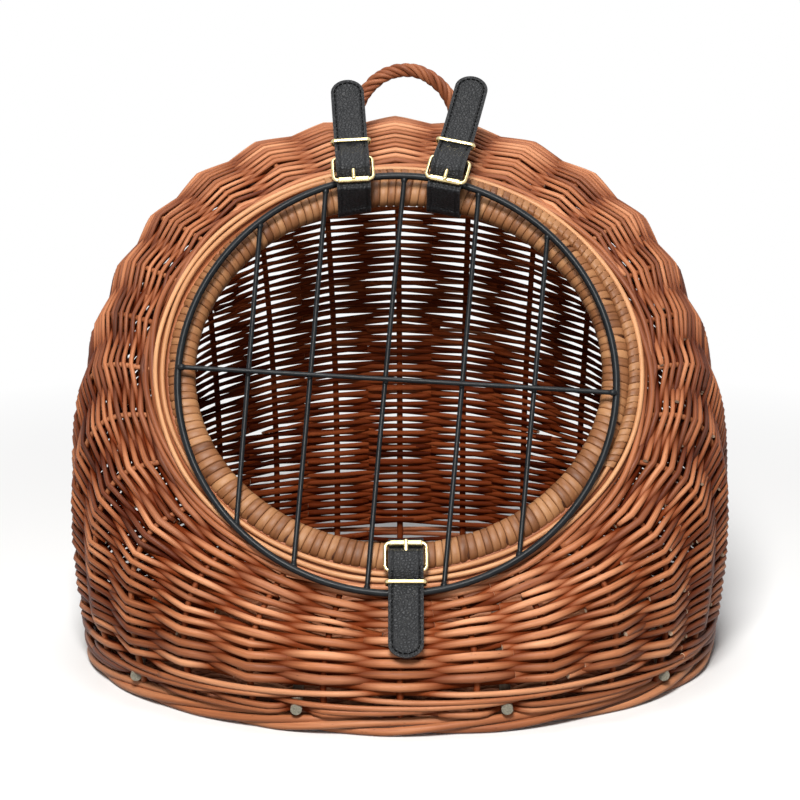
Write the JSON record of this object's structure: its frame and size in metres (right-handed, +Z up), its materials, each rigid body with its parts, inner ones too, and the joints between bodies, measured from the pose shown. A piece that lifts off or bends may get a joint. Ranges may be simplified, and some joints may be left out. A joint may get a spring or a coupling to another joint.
{
  "type": "wicker pet carrier",
  "caption": "Low domed wicker pet carrier with a leaning round mouth, a wire door hung on leather belts with roller buckles, a belt latch and a bent-rod handle.",
  "frame": {"origin": "middle of the oval floor's underside, on the surface that the carrier stands on", "axes": "+Z up, +X to the carrier's right as seen from the front, the mouth and door face -Y"},
  "size_m": [0.478, 0.4032, 0.4232],
  "materials": {
    "willow": "split willow, orange brown, satin",
    "cane": "rattan cane, a little glossy",
    "cut_stick": "grey brown bark with a cut end",
    "black_leather": "pebbled, stitched edges",
    "pale_gold": "pale gold plating",
    "black_wire": "black lacquer, satin"
  },
  "bodies": {
    "basket": {"basket_wall": "willow", "foot_border": "willow", "base_floor": "willow", "base_stick_1": "cut_stick", "base_stick_2": "cut_stick", "base_stick_3": "cut_stick", "base_stick_4": "cut_stick", "opening_rim": "cane", "rim_edge_rod_1": "cane", "rim_edge_rod_2": "cane", "handle": "willow", "left_belt_strap": "black_leather", "left_belt_buckle_frame": "pale_gold", "right_belt_strap": "black_leather", "right_belt_buckle_frame": "pale_gold", "latch_belt_strap": "black_leather", "latch_belt_buckle_frame": "pale_gold", "latch_belt_keeper": "pale_gold"},
    "door": {"door_ring": "black_wire", "door_bar_1": "black_wire", "door_bar_2": "black_wire", "door_bar_3": "black_wire", "door_bar_4": "black_wire", "door_bar_5": "black_wire", "door_cross_bar": "black_wire"},
    "left_belt_roller": {"left_belt_roller": "pale_gold"},
    "left_belt_prong": {"left_belt_prong": "pale_gold"},
    "left_belt_keeper": {"left_belt_keeper": "pale_gold"},
    "right_belt_roller": {"right_belt_roller": "pale_gold"},
    "right_belt_prong": {"right_belt_prong": "pale_gold"},
    "right_belt_keeper": {"right_belt_keeper": "pale_gold"},
    "latch_belt_roller": {"latch_belt_roller": "pale_gold"},
    "latch_belt_prong": {"latch_belt_prong": "pale_gold"}
  },
  "joints": [
    {"name": "door_swing", "type": "hinge", "parent": "basket", "child": "door", "pos_m": [-0.00208, 0.00146, 0.34741], "axis": [-1, 0, 0], "range_deg": [0, 110]},
    {"name": "left_belt_roller_spin", "type": "hinge", "parent": "basket", "child": "left_belt_roller", "pos_m": [-0.0328, -0.01184, 0.3498], "axis": [0.9976, 0.0509, 0.0478], "continuous": true},
    {"name": "left_belt_prong_lift", "type": "hinge", "parent": "basket", "child": "left_belt_prong", "pos_m": [-0.03413, 0.00198, 0.36278], "axis": [-0.9976, -0.0509, -0.0478], "range_deg": [0, 5]},
    {"name": "left_belt_keeper_slide", "type": "slide", "parent": "basket", "child": "left_belt_keeper", "axis": [-0.0698, 0.7272, 0.6829], "range_m": [0, 0.012]},
    {"name": "right_belt_roller_spin", "type": "hinge", "parent": "basket", "child": "right_belt_roller", "pos_m": [0.0318, -0.01204, 0.34951], "axis": [0.9703, -0.1763, -0.1656], "continuous": true},
    {"name": "right_belt_prong_lift", "type": "hinge", "parent": "basket", "child": "right_belt_prong", "pos_m": [0.0364, 0.0014, 0.36213], "axis": [-0.9703, 0.1763, 0.1656], "range_deg": [0, 5]},
    {"name": "right_belt_keeper_slide", "type": "slide", "parent": "basket", "child": "right_belt_keeper", "axis": [0.2419, 0.7073, 0.6642], "range_m": [0, 0.012]},
    {"name": "latch_belt_roller_spin", "type": "hinge", "parent": "basket", "child": "latch_belt_roller", "pos_m": [0.004, -0.15234, 0.1233], "axis": [-1, 0, 0], "continuous": true},
    {"name": "latch_belt_prong_lift", "type": "hinge", "parent": "basket", "child": "latch_belt_prong", "pos_m": [0.004, -0.16319, 0.10769], "axis": [1, 0, 0], "range_deg": [0, 5]}
  ]
}
